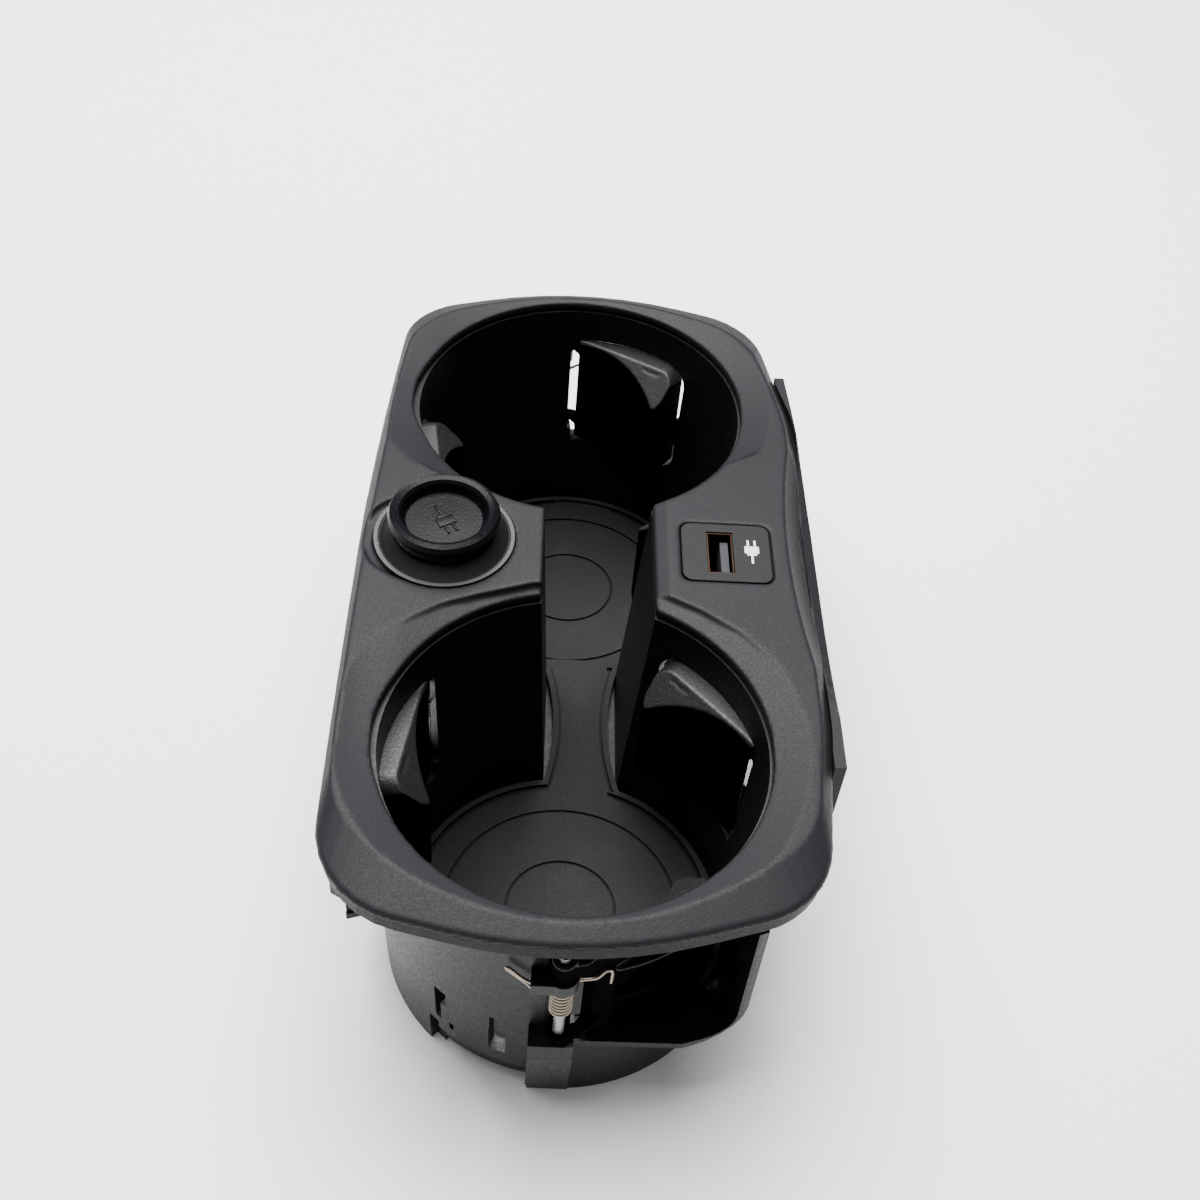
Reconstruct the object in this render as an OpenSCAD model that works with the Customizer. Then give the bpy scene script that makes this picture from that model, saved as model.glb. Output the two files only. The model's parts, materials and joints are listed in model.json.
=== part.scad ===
// Twin cup holder for a car's centre console, with a power socket and a USB port.
// X runs to the right, Y to the rear and Z up. The origin lies on the underside,
// midway between the two cups.

/* [Cups] */
// Height of the cup mouths above the underside
rim_h = 76; // [74:0.5:84]
// Radius of each cup mouth in the bezel
mouth_r = 42; // [40:0.5:46]
// Ground between the two cup mouths
mouth_gap = 26.4; // [25:0.2:30]
// Step from a mouth in to the well below it
well_step = 0.5; // [0.3:0.1:0.8]
// Taper of a well from its top to its floor, on the radius
well_taper = 2.6; // [2:0.1:3]
// Thickness of a well's wall under the deck
well_wall = 2.7; // [2.4:0.1:3]
// Thickness that a well's wall gains towards its foot
foot_gain = 0.3; // [0.1:0.1:0.5]
// Thickness of the well floors
floor_t = 2.2; // [1.8:0.1:2.4]
// Height of the front well's floor above the rear one's
floor_step = 3.6; // [2.8:0.1:4.4]

/* [Channel] */
// Left side of the channel at its top
channel_left = 8.1; // [7:0.1:9]
// Right side of the channel at its top
channel_right = 18; // [16.5:0.1:18.6]
// Distance that the left channel wall leans in towards its floor
channel_left_lean = 3.4; // [2:0.1:4.4]
// Distance that the right channel wall leans in towards its floor
channel_right_lean = 4.6; // [3:0.1:5.6]
// Thickness of the channel walls
channel_wall = 2.2; // [1.6:0.1:2.6]

/* [Bezel] */
// Height of the flat top above the cup mouths
crown_h = 1.2; // [0.8:0.1:2]
// Depth of the bezel's edge below the cup mouths
bezel_edge = 3.4; // [3:0.1:4]
// Thickness of the bezel's skin
bezel_skin = 2.4; // [1.8:0.1:2.8]
// Drop of the sloping band at a cup mouth, below the mouth's nominal height
band_drop = 1; // [0.6:0.1:1.2]
// Width of the sloping band round a cup mouth
band_w = 7.5; // [5.5:0.1:7.6]
// Height of the shadow gap between bezel and carrier
shadow_gap = 0.8; // [0.4:0.1:1.2]
// Radius of the scoop along the right edge
scoop_r = 18.1; // [17.8:0.1:18.4]

/* [Carrier and deck] */
// Thickness of the carrier frame
carrier_t = 3.3; // [2.8:0.1:3.6]
// Distance of the carrier's edge inside the bezel's edge
carrier_inset = 0.8; // [0.6:0.1:1.2]
// Thickness of the housing's deck
deck_t = 2; // [1.6:0.1:2.4]
// Distance of the deck's edge inside the bezel's edge
deck_inset = 3.4; // [3:0.1:4]

/* [Flaps] */
// Distance of a flap's pin outside the top of its well
pin_out = 3.3; // [3.2:0.1:3.6]
// Radius of the pins
pin_r = 1.25; // [1:0.05:1.4]
// Outside radius of a flap's knuckles
knuckle_r = 2.5; // [2.3:0.1:2.6]
// Depth of the flap tops below the cup mouths
flap_top = 13; // [12.8:0.1:13.4]
// Depth of the flap bottoms below the cup mouths
flap_bottom = 48.4; // [47.6:0.1:48.6]
// Distance that a flap's nose stands into its well
nose_in = 11; // [10:0.5:12]
// Angle from a flap's near edge to its nose
nose_a = 43.5; // [42:0.5:44]
// Depth of a flap's nose below its top edge
nose_drop = 8; // [7:0.5:9]
// Radius of the corners at a flap's far end
flap_round = 5; // [4:0.5:5.5]
// Thickness of a flap's skin
flap_skin = 1.8; // [1.4:0.1:2.2]
// Depth of the bay floors below the cup mouths
bay_floor = 49.5; // [49.2:0.1:50]

/* [Springs] */
// Wire radius of the torsion springs
wire_r = 0.58; // [0.5:0.02:0.62]
// Turns of a torsion spring
spring_turns = 9; // [7:1:9]
// Mean radius of a torsion spring's coil
coil_r = 2.08; // [2.04:0.02:2.14]

/* [Mat] */
// Thickness of the rubber mat
mat_t = 2.2; // [1.8:0.1:3]
// Gap between the mat's two discs and the walls of the wells
mat_gap = 1.3; // [1:0.1:1.8]
// Width of the mat's raised lip
lip_w = 1.5; // [1.2:0.1:2]
// Height of the mat's raised lip
lip_h = 1; // [0.6:0.1:1.6]
// Radius of the mat's outer groove
groove_outer_r = 28.4; // [26:0.1:30]
// Radius of the mat's inner groove
groove_inner_r = 13.2; // [11:0.1:15]
// Width of the grooves
groove_w = 0.7; // [0.4:0.1:1]
// Depth of the grooves
groove_depth = 0.5; // [0.3:0.1:0.8]

/* [Power socket] */
// Place of the socket to the left of the cup line
socket_x = 31.3; // [31:0.1:31.8]
// Place of the socket behind the middle
socket_y = 1.2; // [0.4:0.1:2]
// Outside radius of the socket's bright ring
ring_r = 16.4; // [16:0.1:16.8]
// Width of the bright ring
ring_w = 0.9; // [0.6:0.1:1.2]
// Inside radius of the socket barrel
barrel_r = 10.6; // [10.4:0.1:10.8]
// Wall of the socket barrel
barrel_wall = 1.2; // [0.8:0.1:1.4]
// Length of the socket barrel
barrel_len = 42; // [38:0.5:46]
// Height of the collar above the bezel's top
collar_h = 2.4; // [2:0.1:3]
// Outside radius of the cap's grip ring
grip_r = 13; // [12.6:0.1:13.4]
// Height of the cap's grip ring above the collar
grip_h = 6.2; // [5.6:0.1:7]
// Length of the cap's plug below the collar's top
plug_len = 16; // [12:0.5:18]

/* [USB port] */
// Place of the USB panel's centre to the right of the cup line
usb_x = 34.8; // [34.4:0.1:35]
// Place of the USB panel's centre behind the middle
usb_y = 0.3; // [-0.4:0.1:0.8]
// Width of the USB panel
usb_w = 20.9; // [20.4:0.1:21.4]
// Depth of the USB panel
usb_d = 18.6; // [18:0.1:19]
// Corner radius of the USB panel
usb_corner = 2.5; // [2:0.1:3]
// Gap round the USB panel
usb_gap = 0.35; // [0.2:0.05:0.5]
// Depth of the port below the panel
port_depth = 12; // [10:0.5:14]

/* [Side strip] */
// Distance of the side strip's outer face outside the bezel's right edge
strip_out = 1.8; // [1.4:0.1:2.4]
// Height of the side strip below the bezel's edge
strip_h = 14; // [10:0.5:18]

/* [Hidden] */
$fn = 96;
eps = 0.01;
far = 200;

cup_pitch = 2 * mouth_r + mouth_gap;
half = cup_pitch / 2;
well_top_r = mouth_r - well_step;
well_floor_r = well_top_r - well_taper;
shell_top_r = well_top_r + well_wall;
shell_foot_r = well_floor_r + well_wall + foot_gain;
pin_x = well_top_r + pin_out;
mat_r = well_floor_r - mat_gap;
// Clearance between a pin and the knuckle that turns on it
running = 0.06;
// Clearance between fixed round pieces
snug = 0.15;
// Clearance between a moving piece and the housing
free = 0.3;
// Angles of the pins round the front cup; the rear cup mirrors the two at the sides
bay_a = -91;
rear_bay_a = -96;
right_a = 7.5;
left_a = 137;

// Levels, counted up from the underside
crown_z = rim_h + crown_h;
edge_z = rim_h - bezel_edge;
carrier_z = edge_z - shadow_gap - carrier_t;
deck_z = carrier_z - deck_t;
floor_z = floor_t;
mat_step_y = 23.8;

// Corners of the bezel's outline, counter-clockwise from the front left, with corner radii
edge_corners = [[-mouth_r - 9.9, -half - mouth_r + 2.6], [1.85, -half - mouth_r - 9.8],
                [mouth_r + 9.3, -half - mouth_r + 5.1],
                [mouth_r + 13.4, -half + 5.2], [mouth_r + 13.3, half - 5.2],
                [mouth_r + 5.4, half + mouth_r - 4.4], [0.3, half + mouth_r + 9.8],
                [-mouth_r - 4.3, half + mouth_r - 5.3]];
edge_radii = [22, 99, 20, 60, 60, 22, 90, 17];
// The same corners of the flat crown, which lies further in at the two ends
crown_corners = [[-mouth_r - 7.2, -half - mouth_r + 13], [1.85, -half - mouth_r + 1.5],
                 [mouth_r + 7, -half - mouth_r + 14],
                 [mouth_r + 10.6, -half + 5.2], [mouth_r + 10.4, half - 5.2],
                 [mouth_r + 2.6, half + mouth_r - 12], [0.3, half + mouth_r + 1.5],
                 [-mouth_r - 1.8, half + mouth_r - 12]];
crown_radii = [23, 90, 22, 60, 60, 22, 85, 18];

function unit(v) = v / norm(v);
function inward(p, q) = let (d = unit(q - p)) [-d[1], d[0]];
function wrap(i, n) = (i + n) % n;
// The corners of an outline moved inwards by d
function inset(pts, d) = [for (i = [0:len(pts) - 1])
    let (n = len(pts), a = inward(pts[wrap(i - 1, n)], pts[i]), b = inward(pts[i], pts[wrap(i + 1, n)]))
    pts[i] + d * (a + b) / (1 + a * b)];
// Points of one rounded corner
function corner(a, p, b, r, steps) =
    let (u = unit(a - p), v = unit(b - p), h = acos(u * v) / 2, c = p + unit(u + v) * r / sin(h),
         s = p + u * r / tan(h) - c, e = p + v * r / tan(h) - c,
         s_a = atan2(s[1], s[0]), turn = (atan2(e[1], e[0]) - s_a + 540) % 360 - 180)
    [for (i = [0:steps]) c + r * [cos(s_a + turn * i / steps), sin(s_a + turn * i / steps)]];
function rounded(pts, radii, steps) = [for (i = [0:len(pts) - 1])
    let (n = len(pts))
    each corner(pts[wrap(i - 1, n)], pts[i], pts[wrap(i + 1, n)], radii[i], steps)];

module outline(d = 0, steps = 7) {
    polygon(rounded(inset(edge_corners, d), [for (r = edge_radii) r - d], steps));
}

module crown_outline(steps = 7) {
    polygon(rounded(crown_corners, crown_radii, steps));
}

module at_cups() {
    for (side = [-1, 1])
        translate([0, side * half, 0]) children();
}

module in_front(a) {
    translate([0, -half, 0]) rotate([0, 0, a]) children();
}

module in_rear(a) {
    mirror([0, 1, 0]) in_front(a) children();
}

module every_flap() {
    for (a = [bay_a, right_a, left_a])
        in_front(a) children();
    for (a = [rear_bay_a, right_a, left_a])
        in_rear(a) children();
}

// A piece of a ring, from angle a1 to a2, radius r1 to r2 and height z1 to z2
module ring_piece(r1, r2, a1, a2, z1, z2) {
    rotate([0, 0, a1])
        rotate_extrude(angle = a2 - a1)
            translate([r1, z1]) square([r2 - r1, z2 - z1]);
}

module rounded_box(w, d, r) {
    polygon(rounded([[-w / 2, -d / 2], [w / 2, -d / 2], [w / 2, d / 2], [-w / 2, d / 2]], [r, r, r, r], 5));
}

// Section of the channel, seen from the front; grow thickens it on both sides
module channel_section(low, high, grow = 0) {
    left = function (z) -channel_left + channel_left_lean * (edge_z - z) / edge_z - grow;
    right = function (z) channel_right - channel_right_lean * (edge_z - z) / edge_z + grow;
    polygon([[left(low), low], [right(low), low], [right(high), high], [left(high), high]]);
}

module channel_space(low, high, grow = 0) {
    reach = half - well_floor_r + 23;
    translate([0, reach, 0])
        rotate([90, 0, 0])
            linear_extrude(2 * reach) channel_section(low, high, grow);
}

// The mouths and the channel as one flat shape
module mouths_outline(r, grow = 0) {
    at_cups() circle(r);
    translate([-channel_left - grow, -half + r - 8])
        square([channel_left + channel_right + 2 * grow, cup_pitch - 2 * r + 16]);
}

// The scoop along the right edge: a bowed gutter
module scoop(grow = 0) {
    bow_r = 200;
    translate([mouth_r + 22 + bow_r, 3, rim_h + 12])
        rotate([0, 0, 140])
            rotate_extrude(angle = 80, $fn = 180)
                translate([bow_r, 0]) circle(scoop_r + grow, $fn = 64);
}

screw_places = [for (s = [[-1, 132, 8.7], [-1, 50, 5.4], [1, -133, 8], [1, -50, 5.4]])
    [0, s[0] * half] + (mouth_r + s[2]) * [cos(s[1]), sin(s[1])]];
screw_r = 1.5;
screw_len = 7;
boss_r = 3.4;
socket_place = [-socket_x, socket_y, 0];
usb_place = [usb_x, usb_y, 0];
seat_z = crown_z - 1.4;
sleeve_r = barrel_r + barrel_wall + snug + 1.8;

module bezel_skin_space() {
    // Hollow underside between the outer wall and the collars round the openings
    difference() {
        translate([0, 0, edge_z - 1])
            linear_extrude(crown_z - bezel_skin - band_drop - edge_z + 0.8) outline(2.6);
        linear_extrude(far) mouths_outline(mouth_r + 3.6, 2.4);
        translate(socket_place) cylinder(h = far, r = ring_r + 2);
        translate([0, 0, 0]) translate(usb_place) linear_extrude(far) square([usb_w + 5, usb_d + 5], center = true);
        for (p = screw_places)
            translate([p[0], p[1], 0]) cylinder(h = far, r = boss_r);
    }
}

module bezel() color([0.22, 0.22, 0.225]) {
    difference() {
        union() {
            hull() {
                translate([0, 0, edge_z]) linear_extrude(eps) outline(0.15);
                translate([0, 0, edge_z + 0.5]) linear_extrude(eps) outline(0);
                translate([0, 0, edge_z + 1.6]) linear_extrude(eps) outline(0.5);
                translate([0, 0, crown_z - eps]) linear_extrude(eps) crown_outline();
            }
            for (p = screw_places)
                translate([p[0], p[1], edge_z - shadow_gap]) cylinder(h = shadow_gap + 2, r = boss_r);
        }
        // Mouths and channel
        translate([0, 0, edge_z - 2]) linear_extrude(far) mouths_outline(mouth_r);
        // Sloping bands, which stop at the edges of the two panels
        difference() {
            at_cups()
                translate([0, 0, rim_h - band_drop - 1])
                    cylinder(h = band_drop + crown_h + 1 + eps,
                             r1 = mouth_r - band_w / (band_drop + crown_h), r2 = mouth_r + band_w + eps);
            panel_edges();
        }
        translate([0, 0, edge_z]) bands_at_panels();
        scoop();
        bezel_skin_space();
        // Seats for the socket and the USB panel
        translate(socket_place) {
            translate([0, 0, seat_z]) cylinder(h = far, r = ring_r + 0.1);
            cylinder(h = far, r = sleeve_r + snug);
        }
        translate(usb_place) {
            translate([0, 0, crown_z - 1.6])
                linear_extrude(far) rounded_box(usb_w + 2 * usb_gap, usb_d + 2 * usb_gap, usb_corner);
            linear_extrude(far) square([usb_w - 3, usb_d - 3], center = true);
        }
        for (p = screw_places)
            translate([p[0], p[1], 0]) cylinder(h = edge_z + 2, r = screw_r);
    }
}

// Ground that the two panels keep between the cups, bounded by their crisp edges
module panel_edges() {
    left_panel = [[-70, 34], [-39.2, 26.1], [-30.8, 21.4], [-19.1, 17.6], [-8, 14.4], [0, 12],
                  [0, -11], [-10.2, -12.4], [-22, -16.5], [-30.8, -20.1], [-39.2, -26.1], [-70, -40]];
    right_panel = [[70, -42], [42.9, -31.5], [36.6, -24.5], [27.9, -18.4], [18.9, -13.6], [9, -11],
                   [9, 12], [18.4, 18.4], [27.4, 24.2], [35.3, 31], [70, 50]];
    linear_extrude(far) {
        polygon(left_panel);
        polygon(right_panel);
    }
}

// Short steep bands under the panels' edges
module bands_at_panels() {
    at_cups()
        translate([0, 0, bezel_edge - band_drop])
            cylinder(h = band_drop + crown_h + eps, r1 = mouth_r, r2 = mouth_r + 1.6);
}

// Clip tabs at the front left and the rear left: width, length and height
tab = [2.4, 3.6, 3.2];

module tabs(grow = 0) {
    for (place = [[-mouth_r - 5.6, -half - mouth_r + 9, -28], [-mouth_r - 5.6, half + mouth_r - 20, 0]])
        translate([place[0], place[1]])
            rotate(place[2])
                translate([-grow, -grow]) square([tab[0] + 2 * grow, tab[1] + 2 * grow]);
}

module carrier() color([0.16, 0.16, 0.165]) {
    difference() {
        union() {
            translate([0, 0, carrier_z]) linear_extrude(carrier_t) outline(carrier_inset);
            translate([0, 0, carrier_z - tab[2]]) linear_extrude(tab[2] + eps) tabs();
            // Pad on the left that rests on the rim of the console
            intersection() {
                translate([0, 0, deck_z])
                    linear_extrude(deck_t + eps) difference() {
                        outline(carrier_inset);
                        outline(deck_inset - free);
                    }
                translate([-far, -half + 4, 0]) cube([far, 32, far]);
            }
        }
        translate([0, 0, carrier_z - 4])
            linear_extrude(far) mouths_outline(well_top_r + 2.4, channel_wall + 0.3);
        translate(socket_place) cylinder(h = far, r = sleeve_r + 1);
        translate(usb_place) linear_extrude(far) square([usb_w - 1, usb_d - 1], center = true);
        for (p = screw_places)
            translate([p[0], p[1], 0]) cylinder(h = far, r = screw_r + snug);
    }
}

// Profile of a flap in plan: a spiral front from its near edge to the nose, and a round back
nose_r = well_top_r - nose_in;
face_r = well_top_r - 0.6;
back_r = well_top_r + 0.7;
back_a = nose_a + 2;
// Angle from a flap's pin to the start of its plan
pin_lead = 5;
function spiral_r(a) = face_r + (nose_r - face_r) * (a - 1) / (nose_a - 1);
function polar(r, a) = r * [cos(a), sin(a)];

module flap_plan(skin = 0, first = 1) {
    front = [for (a = [first:(nose_a - first) / 9:nose_a + eps]) polar(spiral_r(a) + skin, a + skin / 2)];
    nose = [polar(nose_r + 0.4 + skin, nose_a + 1.8 - skin), polar(nose_r + 2.2 + skin, nose_a + 3 - 2 * skin)];
    back = [for (a = [back_a - 2 * skin:-(back_a - 2 * skin - 4) / 7:4 - eps]) polar(back_r, a)];
    polygon(concat(front, nose, back));
}

// Everything above a flap's sloping top, or below its sloping bottom when turned over
module top_slope(z, drop = 0) {
    edge = polar(back_r + 0.3, 0);
    ridge = polar(back_r - 4, back_a - 1);
    tip = polar(nose_r, nose_a);
    along = unit(ridge - edge);
    inner = [-along[1], along[0]];
    run = (tip - edge) * inner;
    translate([edge[0], edge[1], z - drop])
        rotate([0, 0, atan2(inner[1], inner[0])])
            rotate([0, atan2(nose_drop, run), 0])
                translate([0, -60, 0]) cube([60, 120, 60]);
}

ear_top = 18.5;
ear_bottom = 22;
low_knuckle = 41.9;
block_top = 44.5;

// What lies outside the round of a flap's far end, above (1) or below (-1) the level z
module outside_round(z, side) {
    rotate([0, 0, back_a - 6.4])
        translate([0, 0, z])
            difference() {
                translate([nose_r - 8, 0, side > 0 ? 0 : -flap_round - 3])
                    cube([back_r - nose_r + 12, flap_round + 3, flap_round + 3]);
                rotate([0, 90, 0]) rotate([0, 0, -90]) cylinder(h = back_r + 10, r = flap_round);
            }
}

module flap() {
    top_z = rim_h - flap_top;
    bottom_z = rim_h - flap_bottom;
    difference() {
        union() {
            rotate([0, 0, pin_lead])
                difference() {
                    translate([0, 0, bottom_z]) linear_extrude(top_z - bottom_z) flap_plan();
                    top_slope(top_z);
                    translate([0, 0, bottom_z - 4]) mirror([0, 0, 1]) top_slope(0);
                    outside_round(top_z - flap_round, 1);
                    outside_round(bottom_z + flap_round, -1);
                    // Hollow back with two shelves
                    difference() {
                        for (level = [0:2])
                            translate([0, 0, bottom_z + 3 + level * 11])
                                linear_extrude(9.6) translate([0.8, 0]) flap_back_space();
                        top_slope(top_z, flap_skin * 1.6);
                        translate([0, 0, bottom_z - 4]) mirror([0, 0, 1]) top_slope(0, flap_skin * 1.6);
                    }
                }
            // Knuckles on the pin, and the arms that carry them outside the well's wall
            translate([pin_x, 0, rim_h - ear_top + free])
                cylinder(h = ear_top - free - flap_top + 0.5, r = knuckle_r, $fn = 48);
            translate([0, 0, rim_h - ear_top + free]) linear_extrude(ear_top - free - flap_top - 0.2) arm_plan();
            translate([pin_x, 0, rim_h - block_top + free])
                cylinder(h = block_top - free - low_knuckle, r = knuckle_r, $fn = 48);
            translate([0, 0, rim_h - block_top + free]) linear_extrude(block_top - free - low_knuckle) arm_plan();
        }
        translate([pin_x, 0, rim_h - 60]) cylinder(h = 60, r = pin_r + running, $fn = 48);
    }
}

module arm_plan() {
    polygon([polar(pin_x - 1.7, 1), polar(pin_x - 1.7, 4.4), polar(face_r + 0.2, 6.4), polar(face_r - 0.7, 10),
             polar(back_r - 0.2, 13), polar(pin_x + 0.8, 6), [pin_x + 1.2, 2.2]]);
}

module flap_back_space() {
    end_a = nose_a - 3;
    front = [for (a = [10:4:end_a - 2]) polar(spiral_r(a) + flap_skin, a)];
    polygon(concat(front, [polar(nose_r + 4, end_a), polar(back_r + 8, end_a), polar(back_r + 8, 10)]));
}

module flap_color() color([0.2, 0.2, 0.205]) children();

module flap_front_bay() flap_color() in_front(bay_a) flap();
module flap_front_right() flap_color() in_front(right_a) flap();
module flap_front_left() flap_color() in_front(left_a) flap();
module flap_rear_bay() flap_color() in_rear(rear_bay_a) flap();
module flap_rear_right() flap_color() in_rear(right_a) flap();
module flap_rear_left() flap_color() in_rear(left_a) flap();

pin_top = 10.8;
pin_bottom = 49.5;

module pin() color([0.75, 0.75, 0.74]) {
    translate([pin_x, 0, rim_h - pin_bottom]) cylinder(h = pin_bottom - pin_top, r = pin_r, $fn = 48);
}

module pin_front_bay() in_front(bay_a) pin();
module pin_front_right() in_front(right_a) pin();
module pin_front_left() in_front(left_a) pin();
module pin_rear_bay() in_rear(rear_bay_a) pin();
module pin_rear_right() in_rear(right_a) pin();
module pin_rear_left() in_rear(left_a) pin();

spring_pitch = 1.9 * wire_r;
coil_top = ear_bottom + 1.1 + wire_r;

// A straight piece of leg wire from p to q, a little thinner than the coil that it leaves
module wire(p, q) {
    d = q - p;
    translate(p)
        rotate([0, acos(d[2] / norm(d)), atan2(d[1], d[0])]) cylinder(h = norm(d), r = wire_r - 0.08, $fn = 24);
}

// One turn of the coil's outline, on its outer (1) or inner (-1) side
function coil_side(z, side) = [for (a = [-60:30:60]) [coil_r + side * wire_r * cos(a), z + side * wire_r * sin(a)]];

module spring() color([0.78, 0.74, 0.68]) {
    low = rim_h - coil_top - (spring_turns - 1) * spring_pitch;
    high = rim_h - coil_top;
    turns = [for (i = [0:spring_turns - 1]) low + i * spring_pitch];
    translate([pin_x, 0, 0])
        rotate_extrude($fn = 48)
            polygon(concat([for (z = turns) each coil_side(z, 1)],
                           [for (i = [spring_turns - 1:-1:0]) each coil_side(turns[i], -1)]));
    // Leg that hooks along the housing under the ear
    wire([pin_x + 0.6, -coil_r + 0.1, high], [pin_x + 0.4, -4.2, high - 1.9]);
    wire([pin_x + 0.42, -4, high - 2], [pin_x - 1.3, -11.1, high + 4]);
    // Leg that rests behind the flap
    wire([pin_x - 0.3, coil_r - 0.1, low + 1], [back_r - 0.1, 8.8, high + 2.7]);
    wire([back_r - 0.08, 8.7, high + 2.5], [back_r - 0.35, 9.9, high - 2.4]);
}

module spring_front_bay() in_front(bay_a) spring();
module spring_front_right() in_front(right_a) spring();
module spring_front_left() in_front(left_a) spring();
module spring_rear_bay() in_rear(rear_bay_a) spring();
module spring_rear_right() in_rear(right_a) spring();
module spring_rear_left() in_rear(left_a) spring();

// Window that a flap swings through, round at its far corners
window_start = 3.25;
window_end = 52.75;
window_top = flap_top - 0.5;
window_round = flap_round + 1;

module window() {
    low = rim_h - bay_floor + 0.4;
    high = rim_h - window_top;
    near = well_floor_r - 3;
    reach = shell_top_r + 2;
    round_a = window_end - asin(window_round / well_top_r);
    difference() {
        union() {
            ring_piece(near, reach, window_start, round_a - 0.6, low, high);
            ring_piece(near - 0.2, reach + 0.2, round_a - 2, window_end, low + window_round, high - window_round);
            for (z = [low + window_round, high - window_round])
                translate([0, 0, z])
                    rotate([0, 90, round_a]) rotate([0, 0, -90])
                        cylinder(h = reach + 0.5, r = window_round - 0.05);
        }
        // Land that fills the window's far edge at mid height
        ring_piece(near - 1, reach + 1, window_end - 1.5, window_end + 1, rim_h - 38.5, rim_h - 29.5);
    }
    // Relief in the back of the wall for the knuckles and the spring
    translate([pin_x, 0, rim_h - block_top - 0.5])
        cylinder(h = block_top + 0.5 - window_top + 0.7, r = coil_r + wire_r + free, $fn = 48);
    ring_piece(pin_x - 2.2, reach - 0.5, -4, window_start + 0.5, rim_h - block_top - 0.4, rim_h - window_top + 0.6);
}

// Floor and end wall of a flap's bay, open outwards
bay_reach = pin_x + 6.2;

module bay(end_wall = true) {
    ring_piece(well_floor_r + 1, bay_reach, -9, 59.8, rim_h - bay_floor - bay_wall, rim_h - bay_floor);
    if (end_wall)
        ring_piece(well_floor_r + 1, bay_reach - 0.2, 57, 59.2, rim_h - bay_floor - bay_wall / 2, deck_z + 0.5);
}

// The front bay is squared off to its right, with a round lower corner
bay_right = mouth_r - 2.6;
bay_left = -6;
bay_wall = 2;
bay_front = half + mouth_r + 1.4;
bay_round = 12;

function front_bay_side(d) =
    let (low = rim_h - bay_floor - bay_wall + d, right = bay_right - d, top = deck_z + 0.5)
    concat([[bay_left, low]],
           corner([bay_left, low], [right, low], [right, top], bay_round - 2.5 * d, 5),
           [[right, top]]);

module front_bay() {
    inner = front_bay_side(bay_wall);
    difference() {
        translate([0, -half - 12, 0])
            rotate([90, 0, 0])
                linear_extrude(bay_front - half - 12)
                    polygon(concat(front_bay_side(0), [for (i = [len(inner) - 1:-1:0]) inner[i]]));
        translate([0, -half, -1]) cylinder(h = rim_h + 2, r = well_top_r - 0.6);
    }
}

module pin_mount() {
    // Ear under the top knuckle
    translate([0, 0, rim_h - ear_bottom])
        linear_extrude(ear_bottom - ear_top) {
            translate([pin_x, 0]) circle(3.3, $fn = 48);
            translate([well_top_r - 0.2, -6.4]) square([pin_x + 3.1 - well_top_r, 6.2]);
        }
    // Block that carries the pin's foot and tapers into the wall
    translate([0, 3.4, 0])
        rotate([90, 0, 0])
            linear_extrude(9.6)
                polygon([[well_floor_r + 0.4, rim_h - block_top], [pin_x + 2.8, rim_h - block_top],
                         [pin_x + 2.8, rim_h - block_top - 6], [shell_foot_r + 0.2, 0], [well_floor_r + 0.4, 0]]);
}

module well_shells() {
    at_cups() {
        cylinder(h = deck_z, r1 = shell_foot_r, r2 = shell_top_r);
        translate([0, 0, deck_z - eps]) cylinder(h = edge_z - deck_z + eps, r = well_top_r + 2);
    }
}

module deck() {
    difference() {
        translate([0, 0, deck_z]) linear_extrude(deck_t) outline(deck_inset, 5);
        translate(socket_place) cylinder(h = far, r = sleeve_r + 2.4);
        translate(usb_place) linear_extrude(far) square([usb_w + 1, usb_d + 1], center = true);
        for (p = screw_places)
            translate([p[0], p[1], 0]) cylinder(h = far, r = screw_r + snug);
        linear_extrude(far) tabs(free);
    }
}

// Tool slots in the front wall: angle from, angle to, depth from, depth to below the mouths
slots = [[-130.2, -128, 47.2, 60.8], [-128.2, -125.8, 47.5, 53.4],
         [-111, -108.6, 46.4, 52], [-111.3, -106, 51.8, 61.6], [-125, -123.4, 60, 62.6]];

module slot_cuts() {
    translate([0, -half, 0]) {
        for (s = slots)
            ring_piece(well_floor_r - 2, shell_top_r + 2, s[0], s[1], rim_h - s[3], rim_h - s[2]);
        // Notch at the left end of the raised foot, and the raised foot itself
        ring_piece(well_floor_r + 1.1, shell_top_r + 2, -133.4, -129.4, -1, rim_h - 63.5);
        ring_piece(well_floor_r + 1.4, shell_top_r + 2.5, -129.8, -99.4, -1.5, rim_h - 66.5);
        ring_piece(well_floor_r - 4, shell_top_r + 3, -129.2, -98.9, -2, floor_step - 0.6);
    }
}

module well_space() {
    difference() {
        union() {
            at_cups()
                translate([0, 0, floor_z])
                    cylinder(h = edge_z - floor_z + eps, r1 = well_floor_r, r2 = well_top_r);
            channel_space(floor_z, far);
        }
        translate([-60, -far, 0]) cube([120, far + mat_step_y - 1.2, floor_z + floor_step]);
    }
}

module bays() {
    intersection() {
        union() {
            in_front(right_a) bay(false);
            in_front(left_a) bay();
            in_rear(rear_bay_a) bay();
            in_rear(right_a) bay(false);
            in_rear(left_a) bay();
        }
        linear_extrude(far) outline(2.2, 5);
    }
    intersection() {
        front_bay();
        linear_extrude(far) outline(1, 5);
    }
}

// Hollow under the raised front floor, with crossed ribs left standing
module floor_hollow() {
    difference() {
        translate([0, -half, -1])
            cylinder(h = floor_z + floor_step - floor_t + 1, r = well_floor_r - 4.4);
        for (a = [0:60:120])
            translate([0, -half, 0]) rotate([0, 0, a]) translate([-50, -0.9, -1]) cube([100, 1.8, 20]);
        translate([0, -half, -1]) cylinder(h = 20, r = 8);
    }
}

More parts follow.
